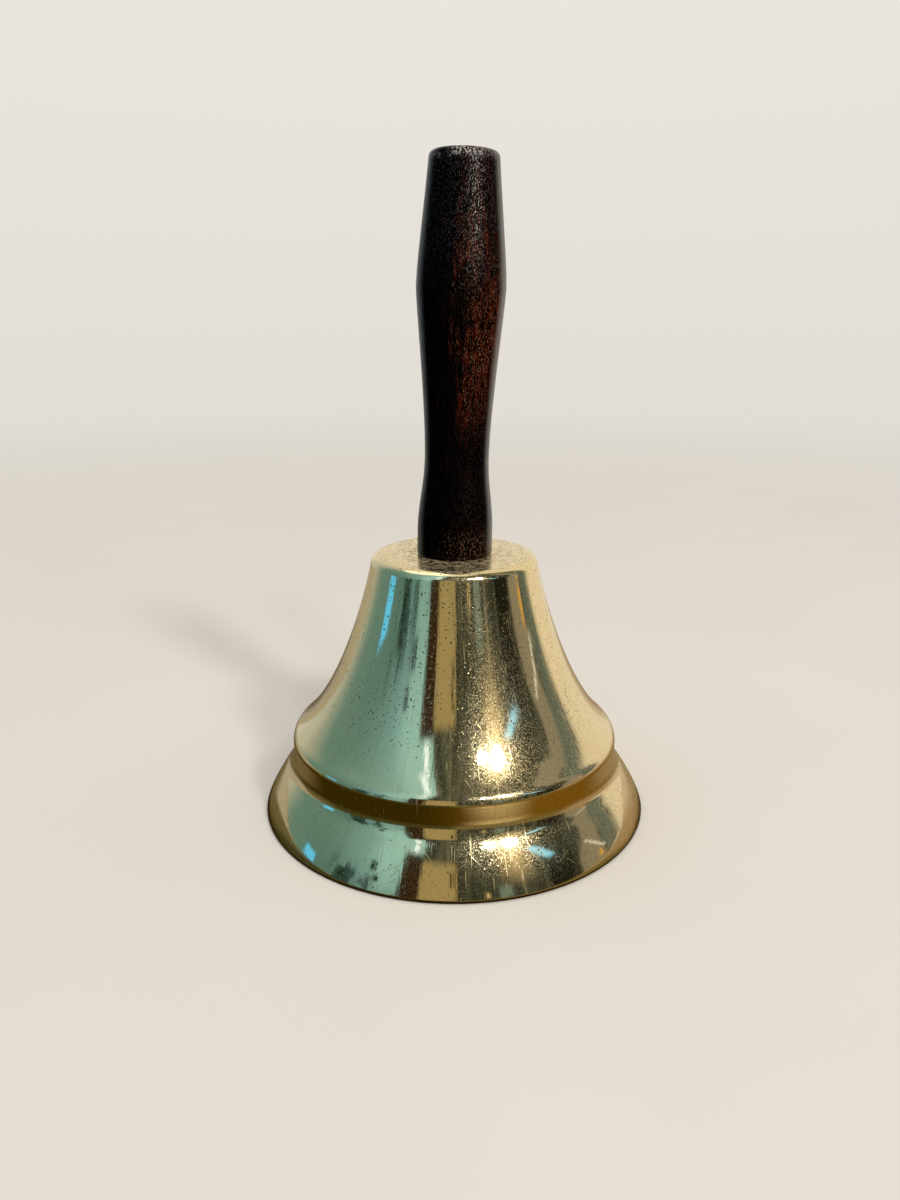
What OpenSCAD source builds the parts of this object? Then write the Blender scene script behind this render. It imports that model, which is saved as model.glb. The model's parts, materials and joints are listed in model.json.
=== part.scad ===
// Hand bell: a spun brass bell on a turned hardwood handle, with a clapper that swings and swivels.
// Millimetres. The rim stands on z = 0, the bell's axis is z, and the handle leans towards +x.

/* [Bell] */
// Diameter across the rim
rim_d = 100; // [92:1:116]
// Height of the crown's flat top above the rim
crown_h = 67.5; // [62:0.5:80]
// Diameter across the shoulder, where the crown turns down into the waist
shoulder_d = 42; // [38:0.5:50]
// Rounding of the shoulder
shoulder_round = 2.6; // [2.2:0.1:4]
// Diameter of the upright band above the skirt
band_d = 84.4; // [78:0.2:90]
// Height of the band's lower edge above the rim
band_z = 13.4; // [11:0.2:16]
// Height of the band
band_h = 7.35; // [6.8:0.05:9]
// Rounding of the band's upper edge
band_edge_round = 3.6; // [2.4:0.1:4.4]
// Fillet where the band meets the skirt
band_fillet = 8; // [5:0.5:9.5]
// Slope of the waist below the shoulder, in degrees from upright
waist_slope = 12; // [6:1:18]
// Slope of the waist where it meets the band, in degrees from upright
waist_flare = 49; // [40:1:58]
// Slope of the skirt below the band, in degrees from upright
skirt_flare = 40.5; // [34:0.5:46]
// Slope of the skirt at the rim, in degrees from upright
rim_flare = 19; // [8:1:26]
// Rounding of the rim's outer lower edge
rim_round = 0.7; // [0.3:0.1:1.2]
// Width of the rim from its widest point to its inner edge
rim_land = 2.4; // [1.8:0.1:3.5]
// Thickness of the waist, band and skirt
wall = 2; // [1.4:0.1:2.6]
// Thickness of the crown
crown_wall = 2.5; // [1.6:0.1:3.5]

/* [Handle] */
// Length of the handle above the crown
handle_len = 91.5; // [80:0.5:110]
// Diameter of the foot that stands on the crown
foot_d = 18.6; // [17:0.1:22]
// Height of the plain foot
foot_h = 5.5; // [4:0.5:10]
// Rounding of the foot's lower edge
foot_round = 0.8; // [0.5:0.1:1.5]
// Diameter of the neck, the handle's thinnest place
neck_d = 15.6; // [14:0.1:17]
// Height of the neck above the crown
neck_h = 24; // [20:0.5:30]
// Diameter of the swell, the handle's thickest place
swell_d = 20.9; // [18:0.1:26]
// Height of the swell above the crown
swell_h = 63; // [50:0.5:70]
// Diameter of the top, measured where its rounded edge begins
top_d = 16; // [14:0.1:17.5]
// Taper of the handle at its top, in degrees from upright
top_taper = 5; // [2:0.5:8]
// Rounding of the top edge
top_round = 1.4; // [0.6:0.1:2.5]
// Lean of the turned handle away from its own bore, in degrees
handle_lean = 1.35; // [0:0.05:2]

/* [Hanger] */
// Diameter of the hanger bolt
bolt_d = 5; // [4.6:0.1:5.4]
// Length of the bolt inside the handle
bolt_reach = 46; // [30:1:60]
// Length of the bolt's wood-screw point
bolt_point = 6; // [3:0.5:9]
// How far the bolt's lower end stands out of the yoke nut
bolt_end = 0.4; // [0:0.1:1]
// Size of the hanger nuts across their flats
nut_flats = 8; // [8:0.1:9]
// Height of the nut that clamps the crown
crown_nut_h = 4; // [3:0.1:4.5]
// Height of the thin nut that carries the yoke
yoke_nut_h = 2.7; // [2:0.1:3.5]
// Diameter of the flat washer under the crown
flat_washer_d = 18; // [12:0.5:24]
// Thickness of the flat washer
flat_washer_t = 1; // [0.6:0.1:1.6]
// Diameter of the spring washer
spring_washer_d = 9.2; // [8.4:0.1:10]
// Thickness of the spring washer
spring_washer_t = 1.2; // [0.8:0.1:1.6]
// Width of the slit in the spring washer
spring_washer_slit = 1; // [0.4:0.1:1.6]

/* [Yoke] */
// Width of the yoke's strip
yoke_w = 8; // [7.6:0.1:10]
// Thickness of the yoke's strip
yoke_t = 1.5; // [1:0.1:2]
// Inner radius of the yoke's bends
yoke_bend = 0.8; // [0.4:0.1:1]
// Diameter of the yoke pin
pin_d = 3; // [2.4:0.1:3.4]
// Diameter of the pin's domed head
pin_head_d = 5.2; // [4.4:0.1:6]
// Height of the pin's domed head
pin_head_h = 1.2; // [0.8:0.1:1.6]
// Diameter of the pin's riveted end
pin_rivet_d = 4.4; // [3.8:0.1:5]
// Height of the pin's riveted end
pin_rivet_h = 0.8; // [0.4:0.1:1.2]

/* [Clapper] */
// Diameter of the eye at the top of the clapper rod
eye_d = 6.4; // [5.6:0.1:7.4]
// Diameter of the clapper rod
rod_d = 4; // [3.4:0.1:4.6]
// Length of the tapered neck between eye and rod
rod_taper = 5; // [4:0.5:8]
// Diameter of the clapper ball
ball_d = 15; // [13:0.5:17]
// Height of the ball's centre above the rim
ball_z = 12.5; // [10:0.5:16]
// Depth of the rod in the ball, measured from the ball's flat
ball_bore = 9; // [6:0.5:9.5]
// Size of the clapper's lock nut across its flats
lock_nut_flats = 7; // [6:0.1:7.5]
// Height of the lock nut
lock_nut_h = 2.2; // [1.6:0.1:3]

/* [Fits] */
// Radial gap of a thread in its nut, bore or handle
thread_gap = 0.05; // [0.02:0.01:0.1]
// Radial gap of a bolt in a clearance hole
hole_gap = 0.2; // [0.1:0.05:0.4]
// Radial gap of a pin or bolt that something turns on
running_gap = 0.08; // [0.04:0.01:0.1]
// Gap above and below the yoke, so that it turns freely
end_play = 0.2; // [0.1:0.05:0.4]
// Gap between the yoke's legs and the corners of the yoke nut
corner_gap = 0.7; // [0.5:0.1:1.2]
// Gap between the eye and each leg of the yoke
side_gap = 0.4; // [0.2:0.1:0.8]
// Gap between the eye and the end of the bolt
eye_gap = 0.6; // [0.3:0.1:1.2]

/* [Hidden] */
$fn = 96;

brass = [0.83, 0.69, 0.38];
old_brass = [0.72, 0.58, 0.32];
dark_wood = [0.14, 0.07, 0.05];
steel = [0.70, 0.70, 0.68];

arc_steps = 8;
curve_steps = 28;
least_round = 0.4;
nut_chamfer = 30;
overcut = 1;

// How far each curve follows its end directions, as a share of the line between its ends
waist_pull = [0.283, 0.28];
skirt_pull = [0.16, 0.3];
foot_pull = [0.38, 0.38];
grip_pull = [0.32, 0.11];
top_pull = [0.165, 0.44];

bolt_r = bolt_d / 2;
pin_r = pin_d / 2;
eye_r = eye_d / 2;
ball_r = ball_d / 2;

// Heights of the hanger's stack, from the crown down
crown_under = crown_h - crown_wall;
flat_washer_z = crown_under - flat_washer_t;
spring_washer_z = flat_washer_z - spring_washer_t;
crown_nut_z = spring_washer_z - crown_nut_h;
web_z = crown_nut_z - end_play - yoke_t;
yoke_nut_z = web_z - end_play - yoke_nut_h;
bolt_z = yoke_nut_z - bolt_end;
pin_z = bolt_z - eye_gap - eye_r;

// The yoke's inner width lets the nut's corners pass as the yoke turns
yoke_in = corners(nut_flats) + 2 * corner_gap;
yoke_out = yoke_in + 2 * yoke_t;
eye_len = yoke_in - 2 * side_gap;

// The lock nut stands on a flat as wide as its corners
ball_flat = sqrt(pow(ball_r, 2) - pow(corners(lock_nut_flats) / 2, 2));
lock_nut_z = ball_z + ball_flat;

// The leaning foot is turned this much longer and trimmed flush with the crown
foot_extra = foot_d / 2 * sin(handle_lean);

function corners(flats) = flats / cos(30);
function facing(angle) = [cos(angle), sin(angle)];
function downhill(slope) = [sin(slope), -cos(slope)];
function last(points) = points[len(points) - 1];

function arc(centre, r, from, to) =
    [for (i = [0:arc_steps]) centre + r * facing(from + (to - from) * i / arc_steps)];

// The inner points of a smooth curve that leaves p0 along d0 and reaches p1 along d1
function curve(p0, d0, p1, d1, pull) =
    let (span = norm(p1 - p0), q0 = p0 + pull[0] * span * d0, q1 = p1 - pull[1] * span * d1)
    [for (i = [1:curve_steps - 1])
        let (t = i / curve_steps, u = 1 - t)
        pow(u, 3) * p0 + 3 * u * u * t * q0 + 3 * u * t * t * q1 + pow(t, 3) * p1];

// One face of the bell's wall from the crown's edge to the rim, set in from the outside by inset
function bell_face(inset, top_z, rim) =
    let (
        band_r = band_d / 2 - inset,
        shoulder_r = max(shoulder_round - inset, least_round),
        edge_r = max(band_edge_round - inset, least_round),
        fillet_r = band_fillet + inset,
        edge_z = band_z + band_h - (inset + edge_r) * tan(waist_flare / 2),
        fillet_z = band_z + (fillet_r - inset) * tan(skirt_flare / 2),
        shoulder = arc([shoulder_d / 2 - inset - shoulder_r, top_z - shoulder_r], shoulder_r, 90, waist_slope),
        edge = arc([band_r - edge_r, edge_z], edge_r, waist_flare, 0),
        fillet = arc([band_r + fillet_r, fillet_z], fillet_r, 180, 180 + skirt_flare),
        waist = curve(last(shoulder), downhill(waist_slope), edge[0], downhill(waist_flare), waist_pull),
        skirt = curve(last(fillet), downhill(skirt_flare), rim[0], downhill(rim_flare), skirt_pull)
    )
    concat(shoulder, waist, edge, fillet, skirt, rim);

function backwards(points) = [for (i = [len(points) - 1:-1:0]) points[i]];

function bell_outline() =
    let (
        bore_r = bolt_r + hole_gap,
        outer_rim = arc([rim_d / 2 - rim_round, rim_round], rim_round, rim_flare, -90),
        inner_rim = [[rim_d / 2 - rim_land, 0]]
    )
    concat([[bore_r, crown_h]],
           bell_face(0, crown_h, outer_rim),
           backwards(bell_face(wall, crown_under, inner_rim)),
           [[bore_r, crown_under]]);

function handle_outline() =
    let (
        up = [0, 1],
        taper = [-sin(top_taper), cos(top_taper)],
        foot = arc([foot_d / 2 - foot_round, foot_round - foot_extra], foot_round, -90, 0),
        plain = [foot_d / 2, foot_h],
        neck = [neck_d / 2, neck_h],
        swell = [swell_d / 2, swell_h],
        top = arc([top_d / 2 - top_round * cos(top_taper), handle_len - top_round], top_round, top_taper, 90)
    )
    concat([[0, -foot_extra]], foot, [plain],
           curve(plain, up, neck, up, foot_pull), [neck],
           curve(neck, up, swell, up, grip_pull), [swell],
           curve(swell, up, top[0], taper, top_pull), top,
           [[0, handle_len]]);

module bell_shell() {
    color(brass)
    rotate_extrude()
    polygon(bell_outline());
}

// The hanger bolt's outside, or with a gap the hole that it needs
module bolt_shape(gap) {
    straight = crown_h + bolt_reach - bolt_point - bolt_z;
    translate([0, 0, bolt_z])
    cylinder(r = bolt_r + gap, h = straight);
    translate([0, 0, bolt_z + straight])
    cylinder(r1 = bolt_r + gap, r2 = gap, h = bolt_point);
}

module handle() {
    color(dark_wood)
    difference() {
        translate([0, 0, crown_h])
        rotate([0, handle_lean, 0])
        rotate_extrude()
        polygon(handle_outline());

        translate([0, 0, crown_h - foot_d])
        cylinder(d = 2 * foot_d, h = foot_d);

        bolt_shape(thread_gap);
    }
}

module hanger_bolt() {
    color(steel)
    bolt_shape(0);
}

// A round washer standing on z = 0
module ring(outer_d, inner_r, h) {
    difference() {
        cylinder(d = outer_d, h = h);
        translate([0, 0, -overcut])
        cylinder(r = inner_r, h = h + 2 * overcut);
    }
}

module flat_washer() {
    color(steel)
    translate([0, 0, flat_washer_z])
    ring(flat_washer_d, bolt_r + hole_gap, flat_washer_t);
}

module spring_washer() {
    color(steel)
    translate([0, 0, spring_washer_z])
    difference() {
        ring(spring_washer_d, bolt_r + hole_gap, spring_washer_t);
        translate([0, -spring_washer_slit / 2, -overcut])
        cube([spring_washer_d, spring_washer_slit, spring_washer_t + 2 * overcut]);
    }
}

// A hexagon nut standing on z = 0, its corners chamfered above and below
module nut(flats, h, hole_r) {
    corner_r = corners(flats) / 2;
    face_r = flats / 2;
    drop = (corner_r - face_r) * tan(nut_chamfer);
    difference() {
        intersection() {
            cylinder(r = corner_r, h = h, $fn = 6);
            rotate_extrude()
            polygon([[0, 0], [face_r, 0], [corner_r, drop], [corner_r, h - drop], [face_r, h], [0, h]]);
        }
        translate([0, 0, -overcut])
        cylinder(r = hole_r, h = h + 2 * overcut);
    }
}

module crown_nut() {
    color(steel)
    translate([0, 0, crown_nut_z])
    nut(nut_flats, crown_nut_h, bolt_r + thread_gap);
}

module yoke_nut() {
    color(steel)
    translate([0, 0, yoke_nut_z])
    nut(nut_flats, yoke_nut_h, bolt_r + thread_gap);
}

// A plate that hangs from y = 0, its upper corners rounded
module arch(w, h, r) {
    translate([-w / 2, -h])
    square([w, h - r]);
    translate([r - w / 2, -r])
    square([w - 2 * r, r]);
    for (side = [-1, 1])
        translate([side * (w / 2 - r), -r])
        circle(r);
}

// A cylinder along y, centred on the yoke pin's axis
module across(r, length) {
    translate([0, 0, pin_z])
    rotate([90, 0, 0])
    cylinder(r = r, h = length, center = true);
}

module clapper_yoke() {
    web_top = web_z + yoke_t;
    leg = web_top - pin_z + yoke_w / 2;
    color(old_brass)
    difference() {
        intersection() {
            translate([-yoke_w / 2, 0, web_top])
            rotate([90, 0, 90])
            linear_extrude(yoke_w)
            difference() {
                arch(yoke_out, leg, yoke_bend + yoke_t);
                translate([0, -yoke_t])
                arch(yoke_in, leg, yoke_bend);
            }
            union() {
                translate([-yoke_w / 2, -yoke_out / 2, pin_z])
                cube([yoke_w, yoke_out, web_top - pin_z]);
                across(yoke_w / 2, yoke_out);
            }
        }
        translate([0, 0, web_z - overcut])
        cylinder(r = bolt_r + running_gap, h = yoke_t + 2 * overcut);
        across(pin_r + thread_gap, yoke_out + 2 * overcut);
    }
}

// A low dome standing on z = 0
module dome(d, h) {
    r = (pow(d / 2, 2) + pow(h, 2)) / (2 * h);
    intersection() {
        translate([0, 0, h - r])
        sphere(r);
        cylinder(d = d, h = h);
    }
}

module yoke_pin() {
    color(steel) {
        across(pin_r, yoke_out);
        translate([0, -yoke_out / 2, pin_z])
        rotate([90, 0, 0])
        dome(pin_head_d, pin_head_h);
        translate([0, yoke_out / 2, pin_z])
        rotate([-90, 0, 0])
        dome(pin_rivet_d, pin_rivet_h);
    }
}

module clapper_rod() {
    rod_r = rod_d / 2;
    rod_z = lock_nut_z - ball_bore;
    color(steel)
    difference() {
        union() {
            across(eye_r, eye_len);
            translate([0, 0, rod_z])
            cylinder(r = rod_r, h = pin_z - rod_z);
            translate([0, 0, pin_z - eye_r - rod_taper])
            cylinder(r1 = rod_r, r2 = eye_r, h = rod_taper + eye_r);
        }
        across(pin_r + running_gap, eye_len + 2 * overcut);
    }
}

module lock_nut() {
    color(steel)
    translate([0, 0, lock_nut_z])
    nut(lock_nut_flats, lock_nut_h, rod_d / 2 + thread_gap);
}

module clapper_ball() {
    color(old_brass)
    difference() {
        translate([0, 0, ball_z])
        sphere(ball_r);
        translate([0, 0, lock_nut_z])
        cylinder(r = ball_r, h = ball_r);
        translate([0, 0, lock_nut_z - ball_bore - thread_gap])
        cylinder(r = rod_d / 2 + thread_gap, h = ball_d);
    }
}

bell_shell();
handle();
hanger_bolt();
flat_washer();
spring_washer();
crown_nut();
yoke_nut();
clapper_yoke();
yoke_pin();
clapper_rod();
lock_nut();
clapper_ball();
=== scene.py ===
"""Looks of the hand bell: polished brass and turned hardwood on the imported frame, on a pale floor."""

import json
import math

import bpy
from mathutils import Matrix, Vector, noise


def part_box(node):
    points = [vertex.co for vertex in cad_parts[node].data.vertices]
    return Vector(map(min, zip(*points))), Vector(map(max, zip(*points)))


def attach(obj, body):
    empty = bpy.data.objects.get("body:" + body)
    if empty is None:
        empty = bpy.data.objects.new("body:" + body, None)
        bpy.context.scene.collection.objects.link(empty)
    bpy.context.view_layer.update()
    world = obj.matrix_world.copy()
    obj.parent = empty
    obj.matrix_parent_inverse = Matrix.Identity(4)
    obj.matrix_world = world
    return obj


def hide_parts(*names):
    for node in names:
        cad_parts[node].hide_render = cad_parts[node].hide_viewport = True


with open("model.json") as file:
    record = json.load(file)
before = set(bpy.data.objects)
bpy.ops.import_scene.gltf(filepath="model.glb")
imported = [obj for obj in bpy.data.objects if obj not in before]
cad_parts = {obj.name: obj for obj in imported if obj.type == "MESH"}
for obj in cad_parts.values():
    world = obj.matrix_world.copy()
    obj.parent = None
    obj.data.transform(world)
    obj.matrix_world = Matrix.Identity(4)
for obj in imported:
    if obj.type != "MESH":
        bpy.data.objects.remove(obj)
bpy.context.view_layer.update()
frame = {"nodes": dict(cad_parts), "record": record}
nodes = frame["nodes"]

MM = 0.001

# Sizes of the bell, of which its box gives the first two
RIM_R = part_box("bell_shell")[1].x
CROWN_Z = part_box("bell_shell")[1].z
SHOULDER_R = 21 * MM
SHOULDER_ROUND = 2.6 * MM
BAND_R = 42.2 * MM
BAND_Z = 13.4 * MM
BAND_H = 7.35 * MM
BAND_TOP = BAND_Z + BAND_H
BAND_EDGE_ROUND = 3.6 * MM
BAND_FILLET = 8 * MM
WAIST_SLOPE = 12
WAIST_FLARE = 49
SKIRT_FLARE = 40.5
RIM_FLARE = 19
RIM_ROUND = 0.7 * MM
RIM_LAND = 2.4 * MM
WALL = 2 * MM
CROWN_WALL = 2.5 * MM
LEAST_ROUND = 0.4 * MM
BORE_R = 2.7 * MM
WAIST_PULL = (0.283, 0.28)
SKIRT_PULL = (0.16, 0.3)

# Unevenness that spinning leaves outside the flat of the crown, shifted so that it is always inward
WEAR_FROM_R = 0.9 * SHOULDER_R
WEAR_DEPTH = 0.015 * MM
WEAR_SHIFT = 1.6
WEAR_SCALE = 60

# Sizes of the handle, with heights above the crown
HANDLE_LEN = 91.49 * MM
FOOT_R = 9.3 * MM
FOOT_H = 5.5 * MM
FOOT_ROUND = 0.8 * MM
NECK_R = 7.8 * MM
NECK_H = 24 * MM
SWELL_R = 10.45 * MM
SWELL_H = 63 * MM
TOP_R = 8 * MM
TOP_TAPER = 5
TOP_ROUND = 1.4 * MM
HANDLE_LEAN = 1.35
FOOT_PULL = (0.38, 0.38)
GRIP_PULL = (0.32, 0.11)
TOP_PULL = (0.165, 0.44)

# Thread of the clapper rod: its section goes from root (0) to crest (1) at shares of the pitch
ROD_R = 2 * MM
THREAD_LOW = 20 * MM
THREAD_HIGH = 29 * MM
THREAD_PITCH = 0.7 * MM
THREAD_RISE = 0.16 * MM
THREAD_SINK = 0.05 * MM
THREAD_SECTION = ((0, -0.46), (1, -0.10), (1, 0.10), (0, 0.46))
THREAD_LEAST = 0.1
THREAD_SIDES = 40

# Eased edges of the hardware
WELD_GAP = 0.001 * MM
EASED_WIDTH = 0.12 * MM
EASED_STEPS = 2
EASED_ANGLE = 35

# Fineness of the meshes
ARC_STEPS = 10
CURVE_STEPS = 56
BELL_SIDES = 288
HANDLE_SIDES = 160
SHARP_ANGLE = 40
ON_AXIS = 1e-9

# Where the brass changes: ranges of height, and of distance from the axis for the dust
PITS_ABOVE_BAND = (BAND_TOP - 1 * MM, BAND_TOP + 16 * MM)
PITS_BELOW_BAND = (BAND_Z - 1 * MM, BAND_Z + 1 * MM)
NICKS_FROM = (BAND_TOP - 2.15 * MM, BAND_TOP - 1.35 * MM)
NICKS_TO = (BAND_TOP - 0.55 * MM, BAND_TOP + 0.45 * MM)
CROWN_FROM = (CROWN_Z - 2 * MM, CROWN_Z - 0.5 * MM)
DUST_THINS = (14 * MM, 21 * MM)
# Heights over which the inside darkens towards the top.
DARKER_INSIDE_FROM = (30 * MM, 66 * MM)

# Dots: the smallest as a share of the largest, and their soft edge in cells
DOT_LEAST = 0.4
DOT_EDGE = (-0.08, 0.02)

# Marks in the brass: the cylinder they are drawn on, how far they stray, and the scratches as
# turn in radians for each metre of height, squeeze, scale and threshold
UNROLL_R = 33 * MM
DUST_STRAYS = 9 * MM
PITS_STRAY = 0.22 * MM
SCRATCHES = ((0, 0.04, 3200, 0.71), (24, 0.05, 3000, 0.73), (-40, 0.07, 3000, 0.745))
SCRATCH_EDGE = 0.04

# Depths of relief
WORKED_DEPTH = 0.2 * MM
BUFFED_DEPTH = 0.05 * MM
MARK_DEPTH = 0.04 * MM
SPUN_DEPTH = 0.08 * MM
UNEVEN_DEPTH = 0.3 * MM
FIBRE_DEPTH = 0.15 * MM
RUB_DEPTH = 0.03 * MM
TURNED_DEPTH = 0.04 * MM

# Where the wood changes: ranges of height above the crown, of x to the right and of y to the back
GRIP_FROM = (24 * MM, 48 * MM)
GRIP_TO = (62 * MM, 84 * MM)
# The red-brown's bias to the right is painted light; its share at the back is wear.
LIT_AND_RUBBED_RIGHT = (-10 * MM, 6 * MM)
RUBBED_BACK = (-4 * MM, 3 * MM)
# The top edge and the next three ranges place a painted highlight, pale glints, on the rounded edge of the
# handle's top.
TOP_EDGE = (88.8 * MM, 90.4 * MM)
EDGE_GLINTS_FROM = (-2.5 * MM, 1.5 * MM)
EDGE_GLINTS_TO = (4.5 * MM, 7.5 * MM)
EDGE_GLINTS_BACK = (-5 * MM, -2 * MM)
# The next two ranges place golden specks at the foot, a painted reflection of the brass crown.
FOOT_GLINTS_TO = (4 * MM, 9 * MM)
FOOT_GLINTS_RIGHT = (-6 * MM, 3 * MM)
LACQUER_FROM = (54 * MM, 82 * MM)
LACQUER_RIGHT = (-5 * MM, 4 * MM)
LACQUER_FAR_RIGHT = (4 * MM, 8 * MM)
LACQUER_FAR_LEFT = (-9.5 * MM, -6.5 * MM)
LACQUER_BACK = (1 * MM, 5 * MM)
SHEEN_RIGHT = (3 * MM, 8 * MM)
SHEEN_BACK = (-7.5 * MM, -5 * MM)

# Floor, in metres: rings of its mesh, and ranges of distance from the axis, of x and of y
FLOOR_RINGS = (RIM_R - RIM_ROUND, 0.1, 0.2, 0.4, 0.8, 1.1)
FLOOR_SIDES = 96
FLOOR_FADES = (0.25, FLOOR_RINGS[-1])
# Ranges for the floor as the brass mirrors it, a painted reflection, with a painted contact shadow at the
# rim and a painted pool of the key lamp's glare.
PAINTED_CONTACT_SHADOW = (0.0505, 0.055)
BESIDE_TO = (0.066, 0.080)
FAR_FROM = (0.16, 0.26)
DISTANT_FROM = (0.17, 0.28)
NEAR_RIGHT = (-0.03, 0.06)
FAR_RIGHT = (-0.10, 0.14)
GLEAM_RIGHT = (-0.01, 0.01)
BESIDE_BACK = (-0.025, 0.005)
BEHIND_BACK = (-0.01, 0.05)
PAINTED_GLARE_AT = (0.034, -0.086, 0)
PAINTED_GLARE_FADES = (0.008, 0.034)

# Camera: a phone's main lens, with its tilt in degrees below level
CAMERA_AT = (-1.09 * MM, -219.8 * MM, 121.7 * MM)
CAMERA_TILT = 16.89
CAMERA_LENS = 27
CAMERA_SENSOR = 36
CAMERA_NEAR = 0.01

# Lamps: azimuth 0 is the camera's side and 90 the bell's right, with lengths in metres
LAMP_AIM = Vector((0, 0, 50 * MM))
LAMPS = {
    "key": dict(azimuth=38, rise=39.5, away=2.0, size=(0.26, 0.40), power=14, tint=(1.0, 0.94, 0.82)),
    "window": dict(azimuth=24, rise=40, away=2.0, size=(0.20, 0.20), power=4, tint=(0.88, 0.96, 1.0)),
    "top": dict(azimuth=-120, rise=70, away=1.4, size=(0.9, 0.9), power=2, tint=(1.0, 0.98, 0.95)),
    "sheen": dict(azimuth=40, rise=22, away=2.0, size=(0.30, 0.60), power=24, tint=(1.0, 0.93, 0.86)),
    "under": dict(azimuth=20, rise=-62, away=0.9, size=(0.5, 0.5), power=3, tint=(1.0, 0.97, 0.92)),
}


# Outlines

def facing(angle):
    return Vector((math.cos(math.radians(angle)), math.sin(math.radians(angle))))


def downhill(slope):
    return Vector((math.sin(math.radians(slope)), -math.cos(math.radians(slope))))


def half_tan(angle):
    return math.tan(math.radians(angle / 2))


def arc(centre, radius, start, end):
    turns = [start + (end - start) * i / ARC_STEPS for i in range(ARC_STEPS + 1)]
    return [Vector(centre) + radius * facing(a) for a in turns]


def curve(p0, d0, p1, d1, pull):
    """The inner points of a smooth curve that leaves p0 along d0 and reaches p1 along d1."""
    span = (p1 - p0).length
    q0 = p0 + pull[0] * span * d0
    q1 = p1 - pull[1] * span * d1
    points = []
    for i in range(1, CURVE_STEPS):
        t = i / CURVE_STEPS
        u = 1 - t
        points.append(u**3 * p0 + 3 * u * u * t * q0 + 3 * u * t * t * q1 + t**3 * p1)
    return points


def bell_face(inset, top_z, rim):
    """One face of the bell's wall, from the crown's edge to the rim."""
    band_r = BAND_R - inset
    shoulder_r = max(SHOULDER_ROUND - inset, LEAST_ROUND)
    edge_r = max(BAND_EDGE_ROUND - inset, LEAST_ROUND)
    fillet_r = BAND_FILLET + inset
    edge_z = BAND_TOP - (inset + edge_r) * half_tan(WAIST_FLARE)
    fillet_z = BAND_Z + (fillet_r - inset) * half_tan(SKIRT_FLARE)
    shoulder = arc((SHOULDER_R - inset - shoulder_r, top_z - shoulder_r), shoulder_r, 90, WAIST_SLOPE)
    edge = arc((band_r - edge_r, edge_z), edge_r, WAIST_FLARE, 0)
    fillet = arc((band_r + fillet_r, fillet_z), fillet_r, 180, 180 + SKIRT_FLARE)
    waist = curve(shoulder[-1], downhill(WAIST_SLOPE), edge[0], downhill(WAIST_FLARE), WAIST_PULL)
    skirt = curve(fillet[-1], downhill(SKIRT_FLARE), rim[0], downhill(RIM_FLARE), SKIRT_PULL)
    return shoulder + waist + edge + fillet + skirt + rim


def bell_outline():
    """The bell's section, and where its inside begins in that list."""
    outer_rim = arc((RIM_R - RIM_ROUND, RIM_ROUND), RIM_ROUND, RIM_FLARE, -90)
    inner_rim = [Vector((RIM_R - RIM_LAND, 0))]
    under = CROWN_Z - CROWN_WALL
    outside = [Vector((BORE_R, CROWN_Z))] + bell_face(0, CROWN_Z, outer_rim)
    inside = bell_face(WALL, under, inner_rim)[::-1] + [Vector((BORE_R, under))]
    return outside + inside, len(outside)


def handle_outline():
    """The handle's section from the middle of its foot to the middle of its top."""
    up = Vector((0, 1))
    taper = Vector((-math.sin(math.radians(TOP_TAPER)), math.cos(math.radians(TOP_TAPER))))
    extra = FOOT_R * math.sin(math.radians(HANDLE_LEAN))
    foot = arc((FOOT_R - FOOT_ROUND, FOOT_ROUND - extra), FOOT_ROUND, -90, 0)
    plain = Vector((FOOT_R, FOOT_H))
    neck = Vector((NECK_R, NECK_H))
    swell = Vector((SWELL_R, SWELL_H))
    top_centre = (TOP_R - TOP_ROUND * math.cos(math.radians(TOP_TAPER)), HANDLE_LEN - TOP_ROUND)
    top = arc(top_centre, TOP_ROUND, TOP_TAPER, 90)
    return (
        [Vector((0, -extra))] + foot + [plain]
        + curve(plain, up, neck, up, FOOT_PULL) + [neck]
        + curve(neck, up, swell, up, GRIP_PULL) + [swell]
        + curve(swell, up, top[0], taper, TOP_PULL) + top
        + [Vector((0, HANDLE_LEN))]
    )


# Meshes

def new_piece(name, verts, faces):
    mesh = bpy.data.meshes.new(name)
    mesh.from_pydata(verts, [], faces)
    piece = bpy.data.objects.new(name, mesh)
    bpy.context.scene.collection.objects.link(piece)
    return piece


def unworn(r, z, angle):
    return 0


def turned_rings(outline, sides, wear):
    """The points that an outline sweeps round the axis, and the numbers of each ring in that list."""
    verts = []
    rings = []
    for r, z in outline:
        if r < ON_AXIS:
            rings.append([len(verts)])
            verts.append((0, 0, z))
            continue
        ring = []
        for k in range(sides):
            angle = 2 * math.pi * k / sides
            worn = r + wear(r, z, angle)
            ring.append(len(verts))
            verts.append((worn * math.sin(angle), worn * math.cos(angle), z))
        rings.append(ring)
    return verts, rings


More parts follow.
